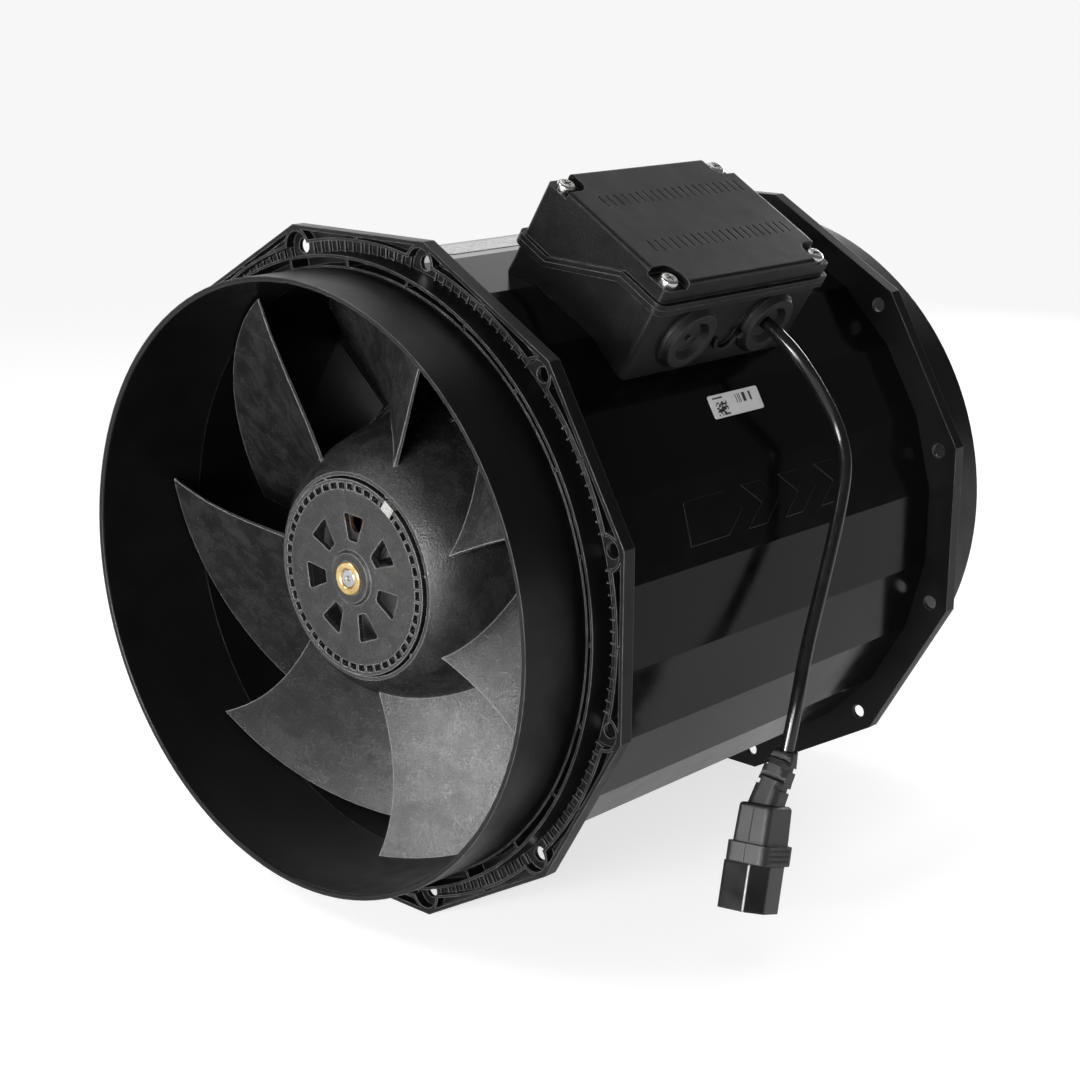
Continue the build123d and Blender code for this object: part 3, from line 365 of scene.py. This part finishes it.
# printed areas: the lowest and highest place across the facet, then along the duct
SERIAL_BLOCK = (-0.0126, -0.0054, 0.1665, 0.1755)
SERIAL_BARS = (-0.0148, -0.0100, 0.1820, 0.1960)
SERIAL_RULE = (-0.0152, -0.0144, 0.1655, 0.1735)
RATING_FIELD = (-0.0135, 0.0075, 0.1080, 0.1920)

CELL_SIDE = 0.0009
BAR_WIDTH = 0.0006
ROW_PITCH = 0.0026
DASH_LENGTH = 0.0013
BLANK_SHARE = 0.42
INKED_PART_OF_ROW = (0.25, 0.68)


def serial_marks(m, across, along):
    """A block of random cells, a row of upright bars and a thin rule."""
    chance = m.scatter(m.math("DIVIDE", across, CELL_SIDE), m.math("DIVIDE", along, CELL_SIDE))
    cells = m.math("GREATER_THAN", chance, BLANK_SHARE)
    bars = m.math("GREATER_THAN", m.scatter(0.0, m.math("DIVIDE", along, BAR_WIDTH)), 0.5)
    block = m.math("MULTIPLY", cells, m.patch(across, along, SERIAL_BLOCK))
    row = m.math("MULTIPLY", bars, m.patch(across, along, SERIAL_BARS))
    return m.math("MAXIMUM", m.math("ADD", block, row), m.patch(across, along, SERIAL_RULE))


def rating_marks(m, across, along):
    """Rows of plain dashes, with blank lines between them."""
    row = m.math("DIVIDE", across, ROW_PITCH)
    positive_row = m.math("ADD", row, 20.0)
    line = m.within(m.math("FRACT", positive_row), *INKED_PART_OF_ROW)
    dashes = m.math("GREATER_THAN", m.scatter(row, m.math("DIVIDE", along, DASH_LENGTH)), BLANK_SHARE)
    return m.math("MULTIPLY", m.patch(across, along, RATING_FIELD), m.math("MULTIPLY", line, dashes))


def circuit_board():
    """Green board with darker tracks."""
    m = Shader("circuit_board")
    tracks = m.cells(320.0)
    m.set(Base_Color=m.mix(m.span(tracks, 0.04, 0.08), (0.02, 0.09, 0.03, 1.0), (0.01, 0.16, 0.05, 1.0)))
    m.set(Roughness=m.span(m.noise(200.0), 0.3, 0.7, 0.3, 0.45))
    return m.material


finishes = {
    "cap_plastic": moulded("cap_plastic", 0.0025, 0.0042, 0.36, specular=0.24, edge_highlight=0.18, highlight_reach=0.0009),
    "shell_plastic": shell_gloss(),
    "inner_plastic": moulded("inner_plastic", 0.0010, 0.0018, 0.44, specular=0.12, edge_highlight=0.01),
    "impeller_plastic": fibre_filled(),
    "box_plastic": moulded("box_plastic", 0.0018, 0.0036, 0.36, depth=0.00018, edge=0.0008, edge_highlight=0.26,
                           specular=0.22, highlight_reach=0.0005),
    "black_rubber": moulded("rubber", 0.0026, 0.0046, 0.44, grain=1800.0, depth=0.00008, edge_highlight=0.09,
                            specular=0.30),
    "zinc_steel": metal("zinc_steel", (0.66, 0.66, 0.65), 0.26),
    "shaft_steel": metal("shaft_steel", (0.52, 0.53, 0.55), 0.30, scale=(1.0, 8.0, 1.0)),
    "core_steel": metal("core_steel", (0.30, 0.30, 0.31), 0.42, scale=(0.2, 6.0, 0.2)),
    "cast_aluminium": metal("cast_aluminium", (0.55, 0.55, 0.56), 0.48, grain=1600.0, depth=0.00004),
    "copper_wire": metal("copper_wire", (0.62, 0.26, 0.10), 0.34, scale=(1.0, 1.0, 6.0)),
    "bush_brass": turned_brass(),
    "magnet": moulded("magnet_ferrite", 0.03, 0.05, 0.6, grain=4000.0),
    "board": circuit_board(),
    "cord_pvc": cord_sheath(),
    "plug_plastic": moulded("plug_plastic", 0.009, 0.018, 0.40, grain=2000.0, depth=0.00020, edge_highlight=0.05,
                            specular=0.42),
    "shroud_plastic": moulded("shroud_plastic", 0.005, 0.016, 0.15, grain=400.0, edge=0.0012, spread=0.04),
    "pin_brass": metal("pin_nickel", (0.70, 0.68, 0.62), 0.22),
    "white_label": label_film("white_label", paper=0.80, bearing=60.0, ink=0.02, marks=serial_marks),
    "grey_label": label_film("grey_label", paper=0.62, bearing=0.0, ink=0.90, marks=rating_marks),
    "nylon": moulded("nylon", 0.52, 0.62, 0.45),
}

# the motor's carrier is a paler moulding than the tube around it
vane_plastic = moulded("vane_plastic", 0.0070, 0.0120, 0.40, specular=0.40, edge_highlight=0.06)
vane_pieces = {"guide_vanes", "vane_hub", "vane_ring", "tail_cover"}

for subpart in frame["record"]["subparts"]:
    node = nodes[subpart["node"]]
    finish = vane_plastic if subpart["node"] in vane_pieces else finishes[subpart["material_slot"]]
    node.data.materials.clear()
    node.data.materials.append(finish)


# ---------------------------------------------------------------- supply cord

CORD_RADIUS = 0.0035
# control points, from the grommet to the strain relief
CORD_ROUTE = [
    (0.129149, 0.2090, 0.125627),
    (0.1435, 0.2090, 0.1170),
    (0.1535, 0.2125, 0.1045),
    (0.1590, 0.2210, 0.0890),
    (0.1655, 0.2260, 0.0735),
    (0.1735, 0.2230, 0.0560),
    (0.1775, 0.2115, 0.0315),
    (0.1800, 0.1970, 0.0015),
    (0.1845, 0.1770, -0.0315),
    (0.1915, 0.1615, -0.0520),
    (0.1906, 0.1558, -0.0758),
]


def add_cord():
    """The free cord, from the grommet to the plug's strain relief."""
    data = bpy.data.curves.new("supply_cord", "CURVE")
    data.dimensions = "3D"
    spline = data.splines.new("NURBS")
    spline.points.add(len(CORD_ROUTE) - 1)
    for point, place in zip(spline.points, CORD_ROUTE):
        point.co = (*place, 1.0)
    spline.order_u = 3
    spline.use_endpoint_u = True
    spline.resolution_u = 16
    data.bevel_depth = CORD_RADIUS
    data.bevel_resolution = 8
    data.use_fill_caps = True
    data.materials.append(finishes["cord_pvc"])
    cord = bpy.data.objects.new("supply_cord", data)
    scene.collection.objects.link(cord)
    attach(cord, "casing")
    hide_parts("power_cord")


add_cord()


# ---------------------------------------------------------------- studio

BACKDROP_RADIANCE = 0.93

# the floor lies at the flats of the flanges, which the fan rests on, and fades into the backdrop between two
# distances from the origin
FLOOR_HEIGHT = round(cad_box[0].z, 3)
FLOOR_REACH = 40.0
FLOOR_GLOW = 0.42
FLOOR_GLOW_TO_CAMERA = 0.72
FLOOR_FADE = (0.5, 2.2)

# the room that the object mirrors is dim, with a pale wall behind the object, whose radiance falls off with
# the angle to its middle
ROOM_RADIANCE = 0.15
WALL_RADIANCE = 1.5
WALL_MIDDLE = direction(-138.0, 6.0)
WALL_EDGE_COSINE = 0.66
WALL_FULL_COSINE = 0.97

LIGHTS_AIM = Vector((0.0, 0.15, 0.0))
# name, azimuth and elevation in degrees, distance and size in metres, radiance
SOFTBOXES = [
    ("key", 24.0, 10.0, 1.7, (0.60, 0.60), 13.0),
    ("front", 4.0, 3.0, 1.7, (0.44, 0.62), 52.0),
    ("rise", -28.0, 42.0, 1.7, (0.50, 0.50), 11.0),
    ("overhead", -150.0, 72.0, 2.2, (1.6, 1.6), 1.2),
    ("left", -95.0, 24.0, 2.0, (1.0, 1.4), 1.4),
    ("rear", 194.0, 8.0, 1.9, (0.80, 0.80), 11.0),
]


def add_floor():
    """Plain pale floor that runs out evenly into the backdrop.

    It glows more to the camera than to the object, so that the gloss doesn't mirror a white floor.
    """
    mesh = bpy.data.meshes.new("floor")
    build = bmesh.new()
    bmesh.ops.create_grid(build, x_segments=4, y_segments=4, size=FLOOR_REACH)
    build.to_mesh(mesh)
    build.free()
    floor = bpy.data.objects.new("floor", mesh)
    floor.location = (0.0, 0.0, FLOOR_HEIGHT)
    scene.collection.objects.link(floor)
    m = Shader("floor_paint")
    m.set(Base_Color=m.mix(m.noise(0.8, 2.0), grey(0.40), grey(0.42)), Specular_IOR_Level=0.1)
    m.set(Roughness=m.span(m.noise(3.0), 0.3, 0.7, 0.72, 0.8))
    to_camera = m.tree.nodes.new("ShaderNodeLightPath").outputs["Is Camera Ray"]
    glow = m.span(to_camera, 0.0, 1.0, FLOOR_GLOW, FLOOR_GLOW_TO_CAMERA)
    m.set(Emission_Color=grey(1.0), Emission_Strength=glow)
    x, y, _ = m.axes()
    away = m.math("SQRT", m.math("ADD", m.math("MULTIPLY", x, x), m.math("MULTIPLY", y, y)))
    backdrop = m.tree.nodes.new("ShaderNodeEmission")
    backdrop.inputs["Strength"].default_value = BACKDROP_RADIANCE
    blend = m.tree.nodes.new("ShaderNodeMixShader")
    m.link(m.span(away, *FLOOR_FADE, smooth=True), blend.inputs[0])
    m.link(m.surface.outputs[0], blend.inputs[1])
    m.link(backdrop.outputs[0], blend.inputs[2])
    m.link(blend.outputs[0], m.output.inputs[0])
    mesh.materials.append(m.material)


def add_softbox(name, azimuth, elevation, distance, size, radiance):
    """Rectangular light that faces the object; its power follows from its size and radiance."""
    data = bpy.data.lights.new(name, "AREA")
    data.shape = "RECTANGLE"
    data.size, data.size_y = size
    data.energy = pi * size[0] * size[1] * radiance
    light = bpy.data.objects.new(name, data)
    light.location = LIGHTS_AIM + direction(azimuth, elevation) * distance
    light.rotation_euler = (LIGHTS_AIM - light.location).to_track_quat("-Z", "Y").to_euler()
    light.visible_camera = False
    scene.collection.objects.link(light)


def set_world():
    """A pale backdrop to the camera, and to everything else the dim room with its pale wall."""
    world = bpy.data.worlds.new("studio")
    world.use_nodes = True
    tree = world.node_tree
    tree.nodes.clear()
    output = tree.nodes.new("ShaderNodeOutputWorld")
    backdrop = tree.nodes.new("ShaderNodeBackground")
    backdrop.inputs[0].default_value = grey(1.0)
    backdrop.inputs[1].default_value = BACKDROP_RADIANCE
    room = tree.nodes.new("ShaderNodeBackground")
    facing_wall = tree.nodes.new("ShaderNodeVectorMath")
    facing_wall.operation = "DOT_PRODUCT"
    facing_wall.inputs[1].default_value = WALL_MIDDLE
    tree.links.new(tree.nodes.new("ShaderNodeTexCoord").outputs["Generated"], facing_wall.inputs[0])
    wall = tree.nodes.new("ShaderNodeMapRange")
    wall.interpolation_type = "SMOOTHSTEP"
    tree.links.new(facing_wall.outputs["Value"], wall.inputs["Value"])
    set_range(wall, WALL_EDGE_COSINE, WALL_FULL_COSINE, ROOM_RADIANCE, WALL_RADIANCE)
    tree.links.new(wall.outputs[0], room.inputs[1])
    path = tree.nodes.new("ShaderNodeLightPath")
    mixer = tree.nodes.new("ShaderNodeMixShader")
    tree.links.new(path.outputs["Is Camera Ray"], mixer.inputs[0])
    tree.links.new(room.outputs[0], mixer.inputs[1])
    tree.links.new(backdrop.outputs[0], mixer.inputs[2])
    tree.links.new(mixer.outputs[0], output.inputs[0])
    scene.world = world


add_floor()
set_world()
for softbox in SOFTBOXES:
    add_softbox(*softbox)
scene.view_settings.view_transform = "Standard"

bpy.context.view_layer.update()
